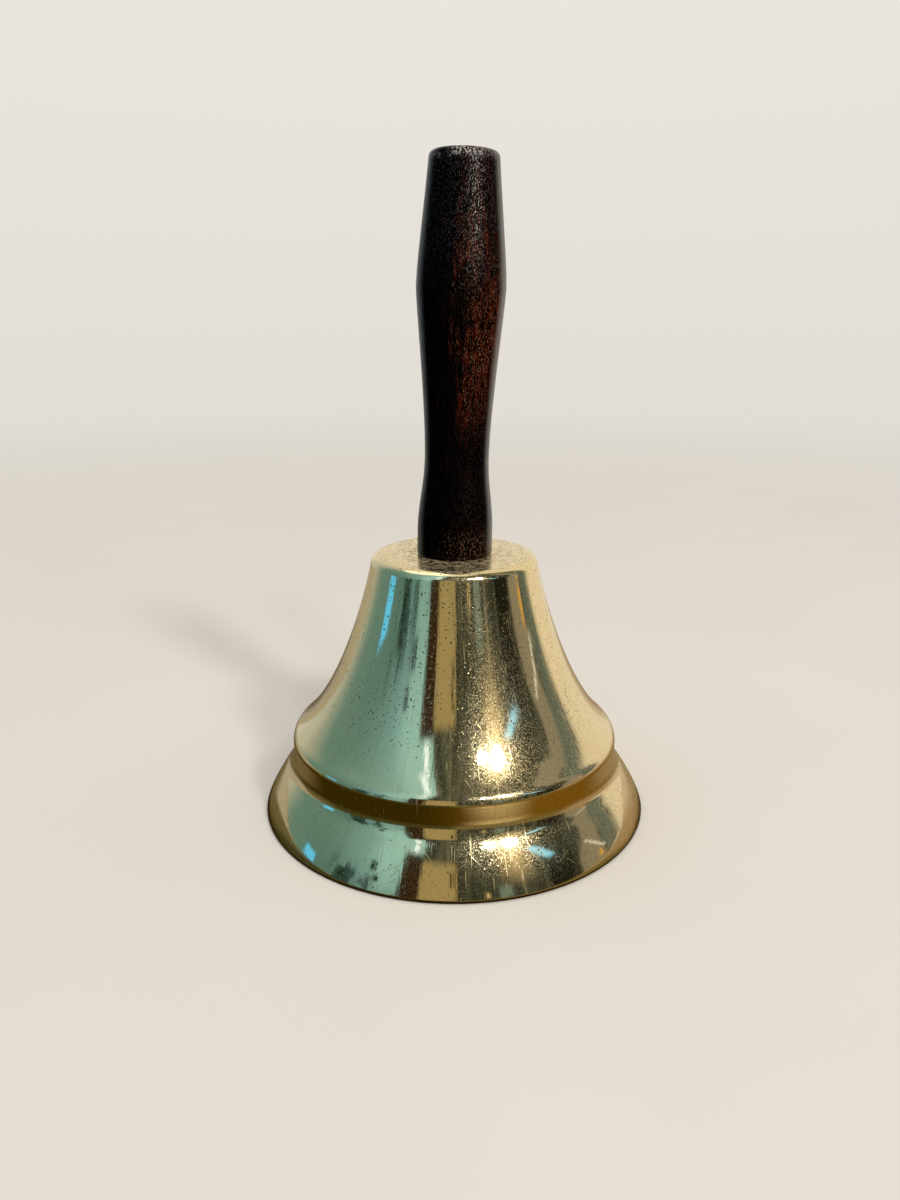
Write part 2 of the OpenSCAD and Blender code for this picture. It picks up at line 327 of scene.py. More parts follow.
def lathe(name, outline, sides, closed, wear=unworn, slot_of=lambda i: 0):
    """A piece turned from an outline of (radius, height), with its seam at the back.
    A closed outline goes back to its first point. wear(r, z, angle) gives a small change of radius,
    and slot_of(i) the material of the strip after point i."""
    verts, rings = turned_rings(outline, sides, wear)
    lengths = [0]
    count = len(outline)
    for i in range(1, count + closed):
        lengths.append(lengths[-1] + (outline[i % count] - outline[i - 1]).length)
    faces, slots, charts = [], [], []
    for i in range(count - 1 + closed):
        low, high = rings[i], rings[(i + 1) % count]
        v0, v1 = lengths[i] / lengths[-1], lengths[i + 1] / lengths[-1]
        for k in range(sides):
            j = (k + 1) % sides
            u0, u1 = k / sides, (k + 1) / sides
            middle = (u0 + u1) / 2
            if len(low) == 1:
                faces.append((low[0], high[k], high[j]))
                charts.append((middle, v0, u0, v1, u1, v1))
            elif len(high) == 1:
                faces.append((low[k], high[0], low[j]))
                charts.append((u0, v0, middle, v1, u1, v0))
            else:
                faces.append((low[k], high[k], high[j], low[j]))
                charts.append((u0, v0, u0, v1, u1, v1, u1, v0))
            slots.append(slot_of(i))
    piece = new_piece(name, verts, faces)
    mesh = piece.data
    mesh.polygons.foreach_set("material_index", slots)
    mesh.uv_layers.new(name="OFBake").data.foreach_set("uv", [c for chart in charts for c in chart])
    mesh.shade_smooth()
    mesh.set_sharp_from_angle(angle=math.radians(SHARP_ANGLE))
    mesh.validate()
    return piece


# Node trees

class Graph:
    """Writes a node tree as expressions: a call adds its nodes and returns what the next call reads."""

    def __init__(self, tree):
        self.tree = tree

    def add(self, kind, inputs=None, **settings):
        made = self.tree.nodes.new(kind)
        for key, value in settings.items():
            setattr(made, key, value)
        for key, value in (inputs or {}).items():
            self.put(made.inputs[key], value)
        return made

    def put(self, socket, value):
        if isinstance(value, bpy.types.NodeSocket):
            self.tree.links.new(value, socket)
        else:
            socket.default_value = value

    def math(self, operation, *values):
        return self.add("ShaderNodeMath", dict(enumerate(values)), operation=operation).outputs[0]

    def fold(self, operation, first, *others):
        for other in others:
            first = self.math(operation, first, other)
        return first

    def total(self, *values):
        return self.fold("ADD", *values)

    def times(self, *values):
        return self.fold("MULTIPLY", *values)

    def most(self, *values):
        return self.fold("MAXIMUM", *values)

    def span(self, value, low, high, to_low=0.0, to_high=1.0):
        """to_low below low and to_high above high, smoothly between them."""
        made = self.add("ShaderNodeMapRange", {0: value, 1: low, 2: high, 3: to_low, 4: to_high})
        made.interpolation_type = "SMOOTHSTEP"
        return made.outputs[0]

    def between(self, value, limits, softness):
        """1 between two limits and 0 beyond them, with its own softness at each limit."""
        (low, high), (soft_low, soft_high) = limits, softness
        rising = self.span(value, low - soft_low, low + soft_low)
        return self.times(rising, self.span(value, high - soft_high, high + soft_high, 1.0, 0.0))

    def mix(self, factor, a, b):
        """Colour b laid over colour a. The node's sockets for colours are 6 and 7, and 2 for the result."""
        made = self.add("ShaderNodeMix", data_type="RGBA")
        self.put(made.inputs[0], factor)
        self.put(made.inputs[6], a)
        self.put(made.inputs[7], b)
        return made.outputs[2]

    def place(self):
        return self.add("ShaderNodeTexCoord").outputs["Object"]

    def facing_up(self):
        """1 where the surface faces up, 0 where it is upright."""
        return self.split(self.add("ShaderNodeTexCoord").outputs["Normal"])[2]

    def aslant(self):
        """0 where the surface is seen straight on, 1 where it is seen along its face."""
        return self.add("ShaderNodeLayerWeight", {"Blend": 0.5}).outputs["Facing"]

    def split(self, vector):
        return self.add("ShaderNodeSeparateXYZ", {0: vector}).outputs[:3]

    def join(self, x, y, z):
        return self.add("ShaderNodeCombineXYZ", {0: x, 1: y, 2: z}).outputs[0]

    def distance(self, vector, start=(0, 0, 0)):
        made = self.add("ShaderNodeVectorMath", {0: vector, 1: start}, operation="DISTANCE")
        return made.outputs["Value"]

    def stretched(self, vector, scale, turn=(0, 0, 0)):
        angles = tuple(math.radians(a) for a in turn)
        made = self.add("ShaderNodeMapping", {"Vector": vector, "Rotation": angles, "Scale": scale})
        return made.outputs[0]

    def unrolled(self, place, twist=0.0):
        """The surface laid round an even cylinder, turned by twist radians for each metre of height."""
        x, y, z = self.split(place)
        angle = self.total(self.math("ARCTAN2", y, x), self.times(z, twist))
        across = self.times(self.math("COSINE", angle), UNROLL_R)
        deep = self.times(self.math("SINE", angle), UNROLL_R)
        return self.join(across, deep, z)

    def ragged(self, place, scale, reach):
        """The place pushed about by up to reach, which makes round dots ragged."""
        inputs = {"Vector": place, "Scale": scale, "Detail": 1.0}
        push = self.add("ShaderNodeTexNoise", inputs).outputs["Color"]
        inputs = {0: push, 1: (reach, reach, reach), 2: place}
        return self.add("ShaderNodeVectorMath", inputs, operation="MULTIPLY_ADD").outputs[0]

    def noise(self, vector, scale, detail, roughness=0.5):
        inputs = {"Vector": vector, "Scale": scale, "Detail": detail, "Roughness": roughness}
        return self.add("ShaderNodeTexNoise", inputs).outputs[0]

    def streaks(self, vector, squeeze, scale, detail, roughness=0.5):
        """Noise with its height squeezed by this share, so that it runs up in streaks."""
        return self.noise(self.stretched(vector, (1, 1, squeeze)), scale, detail, roughness)

    def rings(self, place, across, upward, detail):
        """Noise that changes faster upward than across, so that it runs round in rings."""
        return self.noise(self.stretched(place, (across, across, upward)), 1, detail)

    def dots(self, vector, scale, size, share):
        """Round dots up to a size in cells, in this share of the cells."""
        cells = self.add("ShaderNodeTexVoronoi", {"Vector": vector, "Scale": scale})
        chance = self.add("ShaderNodeSeparateColor", {0: cells.outputs["Color"]}).outputs
        reach = self.span(chance[1], 0, 1, DOT_LEAST * size, size)
        past = self.math("SUBTRACT", cells.outputs["Distance"], reach)
        chosen = self.math("LESS_THAN", chance[0], share)
        return self.times(self.span(past, *DOT_EDGE, 1.0, 0.0), chosen)

    def bump(self, height, strength, distance, normal=None):
        inputs = {"Height": height, "Strength": strength, "Distance": distance}
        if normal:
            inputs["Normal"] = normal
        return self.add("ShaderNodeBump", inputs).outputs[0]


def material(name):
    made = bpy.data.materials.new(name)
    made.use_nodes = True
    tree = made.node_tree
    return made, Graph(tree), tree.nodes["Principled BSDF"]


def colour(r, g, b):
    return (r, g, b, 1.0)


# Polished brass

def brass_grain(g, place, haze):
    """Fine grain that dulls the mirror, thicker in the haze."""
    grain = g.most(g.dots(place, 4700, 0.52, 0.50), g.dots(place, 2900, 0.40, 0.42))
    bloom = g.span(g.total(g.noise(place, 14000, 0), g.times(haze, 0.06)), 0.70, 0.75)
    return g.most(g.times(grain, g.span(haze, 0, 1, 0.40, 1.0)), g.times(bloom, 0.8))


def brass_pits(g, ragged, round_it, height, haze):
    """Dark pits of two sizes, faint on the band, and shallow nicks along the band's upper edge."""
    small = g.times(g.dots(ragged, 1250, 0.30, 0.75), g.span(haze, 0, 1, 0.5, 1.0))
    above_band = g.span(height, *PITS_ABOVE_BAND, 0.15, 1.0)
    below_band = g.span(height, *PITS_BELOW_BAND, 0.5, 0.15)
    pits = g.times(g.most(g.dots(ragged, 700, 0.18, 0.55), small), g.most(above_band, below_band))
    edge = g.times(g.span(height, *NICKS_FROM), g.span(height, *NICKS_TO, 1.0, 0.0))
    nicks = g.times(edge, g.span(g.streaks(round_it, 0.7, 800, 2), 0.64, 0.70))
    return g.most(pits, g.times(nicks, 0.25))


def brass_scratches(g, place):
    """Hairline scratches, upright and slanting both ways."""
    lines = []
    for twist, squeeze, scale, least in SCRATCHES:
        drawn = g.streaks(g.unrolled(place, twist), squeeze, scale, 1)
        lines.append(g.span(drawn, least, least + SCRATCH_EDGE))
    return g.most(*lines)


def crown_dust(g, place, ragged, crown):
    """How thick the dust on the crown is, and its colour: a film with specks, thicker by the handle."""
    from_axis = g.distance(g.stretched(place, (1, 1, 0)))
    straying = g.total(from_axis, g.times(g.noise(place, 160, 3), DUST_STRAYS))
    settled = g.span(straying, *DUST_THINS, 1.0, 0.45)
    specks = g.most(g.dots(ragged, 1000, 0.36, 0.24), g.dots(ragged, 2100, 0.45, 0.50))
    specks = g.times(specks, g.span(g.noise(place, 420, 2), 0.38, 0.60, 0.30, 1.0))
    film = g.span(g.noise(place, 620, 5, 0.75), 0.42, 0.62, 0.0, 0.80)
    film = g.times(film, g.span(settled, 0.45, 1.0, 0.55, 1.0))
    tone = g.mix(settled, colour(0.50, 0.40, 0.22), colour(0.38, 0.27, 0.15))
    dust = g.times(crown, g.most(film, g.times(specks, 0.85)))
    return dust, g.mix(specks, tone, colour(0.16, 0.11, 0.06))


def polished_brass():
    """Mirror-polished brass, pitted, hazed by fine grain and hairline scratches, with a dusty crown."""
    made, g, shader = material("polished_brass")
    place = g.place()
    height = g.split(place)[2]
    round_it = g.unrolled(place)
    ragged = g.ragged(place, 3000, PITS_STRAY)
    haze = g.span(g.streaks(round_it, 0.5, 45, 3), 0.40, 0.66)
    wipes = g.span(g.streaks(round_it, 0.02, 900, 2), 0.55, 0.80)
    grain = brass_grain(g, place, haze)
    pits = brass_pits(g, ragged, round_it, height, haze)
    scratches = brass_scratches(g, place)
    crown = g.times(g.span(g.facing_up(), 0.80, 0.99), g.span(height, *CROWN_FROM))
    dust, dust_tone = crown_dust(g, place, ragged, crown)

    clean = g.mix(g.span(haze, 0, 1, 0.0, 0.4), colour(0.87, 0.70, 0.39), colour(0.81, 0.67, 0.42))
    clean = g.mix(g.times(wipes, 0.5), clean, colour(0.68, 0.54, 0.29))
    base = g.mix(dust, clean, dust_tone)
    g.put(shader.inputs["Base Color"], g.mix(pits, base, colour(0.035, 0.026, 0.014)))
    g.put(shader.inputs["Metallic"], g.math("SUBTRACT", 1.0, g.times(dust, 0.7)))
    marks = ((haze, 0.03), (wipes, 0.05), (grain, 0.32), (scratches, 0.30), (pits, 0.45))
    rough = g.total(0.03, *[g.times(mark, share) for mark, share in marks])
    rough = g.total(rough, g.times(crown, g.span(dust, 0, 1, 0.06, 0.5)))
    g.put(shader.inputs["Roughness"], rough)

    relief = g.total(pits, g.times(scratches, 0.15), g.times(dust, -0.4))
    worked = g.bump(g.noise(round_it, 130, 1), 0.06, WORKED_DEPTH)
    buffed = g.bump(g.streaks(round_it, 0.07, 800, 3, 0.6), 0.35, BUFFED_DEPTH, worked)
    g.put(shader.inputs["Normal"], g.bump(g.times(relief, -1.0), 0.5, MARK_DEPTH, buffed))
    return made


# Inside of the bell

def spun_brass():
    """The bell's unpolished inside, with the rings that spinning leaves and a dull brown tone, darker
    towards the top.
    """
    made, g, shader = material("spun_brass")
    place = g.place()
    height = g.split(place)[2]
    rings = g.rings(place, 6, 1500, 3)
    fine_rings = g.rings(place, 12, 6000, 2)
    stain = g.span(g.noise(g.unrolled(place), 70, 4, 0.6), 0.42, 0.74)
    spots = g.dots(place, 1100, 0.30, 0.10)
    grain = g.noise(place, 2400, 2)
    bright = g.mix(rings, colour(0.60, 0.44, 0.21), colour(0.78, 0.61, 0.32))
    toned = g.mix(g.times(stain, 0.7), bright, colour(0.44, 0.29, 0.13))
    # Darker towards the top of the inside.
    darkened_high = g.mix(g.span(height, *DARKER_INSIDE_FROM, 0.0, 0.55), toned, colour(0.33, 0.22, 0.10))
    g.put(shader.inputs["Base Color"], g.mix(spots, darkened_high, colour(0.14, 0.09, 0.04)))
    shader.inputs["Metallic"].default_value = 1.0
    rough = g.total(g.span(fine_rings, 0.3, 0.7, 0.24, 0.40), g.times(stain, 0.12), g.times(spots, 0.2))
    g.put(shader.inputs["Roughness"], rough)
    relief = g.total(rings, g.times(fine_rings, 0.5), g.times(grain, 0.2))
    g.put(shader.inputs["Normal"], g.bump(relief, 0.6, SPUN_DEPTH))
    return made


# Wood of the handle

def wear_and_lit_side(g, place, x, y, up):
    """How far the grip is worn to red-brown, more on the back and less towards its ends. Its bias to the
    right is painted light, with the front left kept near-black as painted shade.
    """
    handled = g.times(g.span(up, *GRIP_FROM, 0.06, 1.0), g.span(up, *GRIP_TO, 1.0, 0.35))
    # Painted light and shade: redder on the lit right, near-black at the front left.
    rubbed_and_lit = g.most(g.span(x, *LIT_AND_RUBBED_RIGHT, -0.32, 0.19), g.span(y, *RUBBED_BACK, -0.32, 0.28))
    patches = g.streaks(place, 0.40, 120, 4, 0.65)
    streaks = g.math("MULTIPLY_ADD", g.streaks(place, 0.07, 900, 2), 0.6, -0.3)
    return g.times(g.span(g.total(patches, rubbed_and_lit, streaks), 0.46, 0.80), handled)


def painted_edge_glints(g, place, x, y, up):
    """Painted highlight: pale glints painted in the rounded edge of the handle's top, most of them at the
    front.
    """
    rounded = g.times(g.span(up, *TOP_EDGE), g.span(g.facing_up(), 0.96, 0.995, 1.0, 0.0))
    front = g.times(g.span(x, *EDGE_GLINTS_FROM), g.span(x, *EDGE_GLINTS_TO, 1.0, 0.3))
    front = g.times(front, g.span(y, *EDGE_GLINTS_BACK, 1.0, 0.0))
    glint_patches = g.most(front, g.span(g.noise(place, 300, 1), 0.50, 0.62, 0.0, 0.5))
    return g.times(rounded, g.span(g.noise(place, 2300, 2), 0.46, 0.58), glint_patches)


def lacquer_sheen(g, x, y, up, foot, glossy):
    """How much the lacquer shines: in specks where it is thick, and all over where it is seen aslant."""
    thick = g.times(g.span(up, *LACQUER_FROM, 0.20, 1.0), g.span(x, *LACQUER_RIGHT, 0.20, 1.0))
    thick = g.times(thick, g.span(x, *LACQUER_FAR_RIGHT, 1.0, 0.45))
    left = g.span(x, *LACQUER_FAR_LEFT, 0.7, 0.0)
    back = g.span(y, *LACQUER_BACK, 0.0, 0.8)
    thick = g.most(thick, g.times(foot, 0.5), left, back)
    edge = g.times(g.span(g.aslant(), 0.43, 0.80), g.span(x, *SHEEN_RIGHT, 0.40, 1.5))
    edge = g.times(edge, g.span(y, *SHEEN_BACK, 0.3, 1.0))
    return g.most(g.times(thick, g.span(glossy, 0, 1, 0.02, 0.80)), edge)


def dark_hardwood():
    """Near-black brown stain under uneven lacquer, with glinting pores, worn to red-brown in places and
    redder on the right as painted light; with painted glints in its specks, a painted highlight on the top
    edge and a painted reflection at the foot.
    """
    made, g, shader = material("dark_hardwood")
    place = g.place()
    x, y, z = g.split(place)
    up = g.math("SUBTRACT", z, CROWN_Z)
    fibres = g.streaks(place, 0.10, 2600, 3, 0.6)
    specks = g.span(g.streaks(place, 0.30, 5200, 1), 0.60, 0.68)
    glints = g.span(g.streaks(place, 0.42, 5600, 0), 0.63, 0.70)
    worn = wear_and_lit_side(g, place, x, y, up)
    edge_glints = painted_edge_glints(g, place, x, y, up)
    foot = g.times(g.span(up, *FOOT_GLINTS_TO, 1.0, 0.0), g.span(x, *FOOT_GLINTS_RIGHT))

    stained_fibres = g.span(fibres, 0.42, 0.68)
    stain = g.mix(stained_fibres, colour(0.0002, 0.0002, 0.0003), colour(0.0022, 0.0008, 0.0006))
    red_fibres = g.span(fibres, 0.44, 0.66)
    red = g.mix(red_fibres, colour(0.0012, 0.0003, 0.0002), colour(0.050, 0.0058, 0.0016))
    # Speck colour: dark pores, golden where worn; the golden is painted glints.
    lit = g.mix(worn, colour(0.003, 0.0015, 0.001), colour(0.150, 0.080, 0.036))
    base = g.mix(g.times(specks, 0.7), g.mix(worn, stain, red), lit)
    # Painted reflection: golden specks at the foot stand for the brass crown's light.
    base = g.mix(g.times(specks, foot), base, colour(0.100, 0.048, 0.020))
    # Painted highlight: pale glints on the rounded top edge.
    base = g.mix(g.times(edge_glints, 0.8), base, colour(0.30, 0.27, 0.26))
    g.put(shader.inputs["Base Color"], base)

    glossy = g.most(g.times(specks, 0.5), glints)
    g.put(shader.inputs["Specular IOR Level"], lacquer_sheen(g, x, y, up, foot, glossy))
    g.put(shader.inputs["Roughness"], g.span(fibres, 0.3, 0.7, 0.28, 0.46))
    relief = g.total(g.times(specks, 0.5), g.times(fibres, 0.6))
    uneven = g.bump(g.streaks(place, 0.5, 210, 1), 0.35, UNEVEN_DEPTH)
    g.put(shader.inputs["Normal"], g.bump(relief, 0.8, FIBRE_DEPTH, uneven))
    return made


# Metal of the hardware

def zinc_steel():
    """Dull zinc plating with rub marks and a few rust-brown spots."""
    made, g, shader = material("zinc_steel")
    place = g.place()
    cloud = g.noise(place, 260, 3)
    spots = g.dots(place, 900, 0.30, 0.10)
    rubs = g.noise(g.stretched(place, (2600, 2600, 300), (20, 35, 0)), 1, 2)
    plate = g.mix(g.span(cloud, 0.3, 0.7), colour(0.50, 0.49, 0.46), colour(0.66, 0.66, 0.64))
    g.put(shader.inputs["Base Color"], g.mix(spots, plate, colour(0.20, 0.12, 0.07)))
    shader.inputs["Metallic"].default_value = 1.0
    g.put(shader.inputs["Roughness"], g.span(rubs, 0.3, 0.7, 0.26, 0.46))
    g.put(shader.inputs["Normal"], g.bump(rubs, 0.25, RUB_DEPTH))
    return made


def plain_brass():
    """Turned and stamped brass, unpolished and toned brown."""
    made, g, shader = material("plain_brass")
    place = g.place()
    cloud = g.span(g.noise(place, 210, 4), 0.35, 0.70)
    spots = g.dots(place, 1000, 0.3, 0.12)
    rings = g.rings(place, 40, 3200, 2)
    tone = g.mix(cloud, colour(0.68, 0.52, 0.26), colour(0.42, 0.28, 0.12))
    g.put(shader.inputs["Base Color"], g.mix(spots, tone, colour(0.16, 0.10, 0.05)))
    shader.inputs["Metallic"].default_value = 1.0
    rough = g.total(g.span(rings, 0.3, 0.7, 0.22, 0.36), g.times(cloud, 0.12))
    g.put(shader.inputs["Roughness"], rough)
    g.put(shader.inputs["Normal"], g.bump(rings, 0.35, TURNED_DEPTH))
    return made


# Pieces

def bell_wear(r, z, angle):
    """The slight unevenness of spinning, always inward."""
    if r < WEAR_FROM_R:
        return 0
    across = Vector((math.sin(angle) * r, math.cos(angle) * r, z))
    return WEAR_DEPTH * (noise.noise(across * WEAR_SCALE) - WEAR_SHIFT)


def make_bell():
    outline, inside_from = bell_outline()
    piece = lathe(
        "brass_bell", outline, BELL_SIDES, True, bell_wear, lambda i: int(i >= inside_from - 1)
    )
    piece.data.materials.append(polished_brass())
    piece.data.materials.append(spun_brass())
    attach(piece, "bell")
    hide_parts("bell_shell")


def make_handle():
    piece = lathe("turned_handle", handle_outline(), HANDLE_SIDES, False)
    stand = Matrix.Translation((0, 0, CROWN_Z)) @ Matrix.Rotation(math.radians(HANDLE_LEAN), 4, "Y")
    for vertex in piece.data.vertices:
        placed = stand @ vertex.co
        vertex.co = (placed.x, placed.y, max(placed.z, CROWN_Z))
    piece.data.materials.append(dark_hardwood())
    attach(piece, "bell")
    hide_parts("handle")
    return piece


def make_rod_thread(finish):
    """The rolled thread above the lock nut: one ridge wound round the rod, run out at both ends."""
    steps = round((THREAD_HIGH - THREAD_LOW) / THREAD_PITCH * THREAD_SIDES)
    root = ROD_R - THREAD_SINK
    verts = []
    for k in range(steps + 1):
        angle = 2 * math.pi * k / THREAD_SIDES
        z = THREAD_LOW + THREAD_PITCH * k / THREAD_SIDES
        full = max(THREAD_LEAST, min(1, k / THREAD_SIDES, (steps - k) / THREAD_SIDES))
        for height, share in THREAD_SECTION:
            r = root + height * full * (THREAD_RISE + THREAD_SINK)
            verts.append((r * math.cos(angle), r * math.sin(angle), z + share * full * THREAD_PITCH))
    corners = len(THREAD_SECTION)
    faces = [tuple(range(corners))]
    for k in range(steps):
        for j in range(corners):
            a, b = corners * k + j, corners * k + (j + 1) % corners
            faces.append((a, a + corners, b + corners, b))
    faces.append(tuple(corners * steps + j for j in reversed(range(corners))))
    piece = new_piece("rod_thread", verts, faces)
    piece.data.materials.append(finish)
    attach(piece, "clapper")


def dress_hardware():
    """Materials and eased edges for the hardware, whose solids are shown as they are."""
    finishes = {"zinc_steel": zinc_steel(), "plain_brass": plain_brass()}
    make_rod_thread(finishes["zinc_steel"])
    for part in frame["record"]["subparts"]:
        finish = finishes.get(part["material_slot"])
        if not finish:
            continue
        node = nodes[part["node"]]
        node.data.materials.clear()
        node.data.materials.append(finish)
        node.modifiers.new("joined", "WELD").merge_threshold = WELD_GAP
        eased = node.modifiers.new("eased", "BEVEL")
        eased.width = EASED_WIDTH
        eased.segments = EASED_STEPS
        eased.limit_method = "ANGLE"
        eased.angle_limit = math.radians(EASED_ANGLE)
        eased.harden_normals = True


# Floor

def painted_floor_gleam(g, x, y):
    """Painted reflection: the sheen of the floor that the brass mirrors at a grazing angle, by the side and
    by how far back it is.
    """
    back = g.math("DIVIDE", y, g.math("ABSOLUTE", x))
    left = g.mix(g.span(back, -0.40, -0.10), colour(0.060, 0.060, 0.020), colour(0.14, 0.135, 0.070))
    left = g.mix(g.span(back, 0.09, 0.20), left, colour(0.45, 0.45, 0.43))
    right = g.mix(g.span(back, -0.65, -0.32), colour(0.18, 0.15, 0.065), colour(0.39, 0.30, 0.195))
    right = g.mix(g.span(back, 0.0, 0.5), right, colour(0.62, 0.55, 0.46))
    return g.mix(g.span(x, *GLEAM_RIGHT), left, right)


def painted_floor_reflection(g, place, away):
    """Painted reflection: the floor as the brass mirrors it, painted darker and browner, with painted shade
    near the bell, a painted contact shadow at the rim, paler far off and in a painted pool of the key
    lamp's glare.
    """
    x, y, _ = g.split(place)
    side = g.span(x, *FAR_RIGHT)
    # Painted reflection of a dark brown floor, darkest near the bell as painted shade.
    near = g.mix(g.span(x, *NEAR_RIGHT), colour(0.036, 0.025, 0.001), colour(0.185, 0.098, 0.008))
    far = g.mix(side, colour(0.16, 0.13, 0.065), colour(0.38, 0.29, 0.17))
    beside = g.times(g.span(y, *BESIDE_BACK), g.span(away, *BESIDE_TO, 1.0, 0.0))
    behind = g.most(g.span(y, *BEHIND_BACK), beside)
    floor = g.mix(g.most(behind, g.span(away, *FAR_FROM)), near, far)
    # Painted highlight: a pool of the key lamp's glare in front of the bell.
    painted_glare = g.span(g.distance(place, PAINTED_GLARE_AT), *PAINTED_GLARE_FADES, 1.0, 0.0)
    floor = g.mix(painted_glare, floor, colour(0.60, 0.50, 0.31))
    # Painted shadow: a dark contact ring round the rim.
    floor = g.mix(g.span(away, *PAINTED_CONTACT_SHADOW), colour(0.02, 0.011, 0.003), floor)
    # Painted reflection: a paler sheen at grazing angles.
    floor = g.mix(g.span(g.aslant(), 0.71, 0.86), floor, painted_floor_gleam(g, x, y))
    # Painted reflection: far behind, the mirrored floor is pale.
    distant = g.mix(side, colour(0.45, 0.42, 0.33), colour(0.86, 0.82, 0.74))
    return g.mix(g.times(behind, g.span(away, *DISTANT_FROM)), floor, distant)


def pale_floor():
    """Plain pale matt, clear from below and towards the floor's end. To mirrored rays it shows a painted
    reflection instead.
    """
    made, g, shader = material("pale_floor")
    place = g.place()
    away = g.distance(place)
    pale = g.mix(g.noise(place, 9, 3), colour(0.74, 0.70, 0.65), colour(0.79, 0.755, 0.71))
    mirrored = g.add("ShaderNodeLightPath").outputs["Is Glossy Ray"]
    # Painted reflection: mirrored rays see the floor darker and browner than the camera does.
    g.put(shader.inputs["Base Color"], g.mix(mirrored, pale, painted_floor_reflection(g, place, away)))
    shader.inputs["Roughness"].default_value = 0.6
    shader.inputs["Specular IOR Level"].default_value = 0.0
    clear = g.add("ShaderNodeBsdfTransparent").outputs[0]
    under = g.add("ShaderNodeNewGeometry").outputs["Backfacing"]
    gone = g.most(under, g.span(away, *FLOOR_FADES))
    seen = g.add("ShaderNodeMixShader", {0: gone, 1: shader.outputs[0], 2: clear}).outputs[0]
    g.put(made.node_tree.nodes["Material Output"].inputs["Surface"], seen)
    return made


def make_floor():
    """A round floor that fades into the backdrop, open under the bell's mouth."""
    verts = []
    for r in FLOOR_RINGS:
        for k in range(FLOOR_SIDES):
            angle = 2 * math.pi * k / FLOOR_SIDES
            verts.append((r * math.cos(angle), r * math.sin(angle), 0))
    faces = []
    for i in range(len(FLOOR_RINGS) - 1):
        inner, outer = i * FLOOR_SIDES, (i + 1) * FLOOR_SIDES
        for k in range(FLOOR_SIDES):
            j = (k + 1) % FLOOR_SIDES
            faces.append((inner + k, outer + k, outer + j, inner + j))
    floor = new_piece("floor", verts, faces)
    floor.data.materials.append(pale_floor())


# Surroundings, with azimuth and rise in degrees

def dim_room(g, azimuth, rise):
    """The darker room in front, with folds like a curtain's."""
    folds = g.noise(g.join(azimuth, g.times(rise, 0.06), 0.0), 0.22, 2)
    room = g.mix(g.span(rise, 15, 70), colour(0.050, 0.064, 0.058), colour(0.105, 0.112, 0.092))
    room = g.mix(g.span(folds, 0.38, 0.58, 0.85, 0.0), room, colour(0.025, 0.028, 0.022))
    return g.mix(g.span(folds, 0.58, 0.70, 0.0, 0.6), room, colour(0.38, 0.38, 0.30))


def cool_box(g, azimuth, rise):
    """The cool soft box on the left, brighter towards the front, with uneven shadows low in its middle."""
    cool = g.mix(g.span(azimuth, -88, -33), colour(0.14, 0.285, 0.33), colour(0.25, 0.54, 0.76))
    cool = g.mix(g.span(azimuth, -56, -40), cool, colour(0.35, 0.70, 0.93))
    dimmed = g.times(g.span(rise, 0, 30, 0.45, 0.0), g.span(azimuth, -105, -80))
    cool = g.mix(dimmed, cool, colour(0.06, 0.16, 0.19))
    cool = g.mix(g.span(rise, 25, 60, 0.0, 0.35), cool, colour(0.36, 0.66, 0.78))
    shadows = g.span(g.noise(g.join(azimuth, g.times(rise, 0.25), 3.0), 0.15, 1), 0.48, 0.62)
    low = g.span(rise, 12, 20, 1.0, 0.0)
    middle = g.times(g.span(azimuth, -78, -64), g.span(azimuth, -50, -40, 1.0, 0.0))
    return g.mix(g.times(shadows, low, middle, 0.9), cool, colour(0.012, 0.035, 0.038))


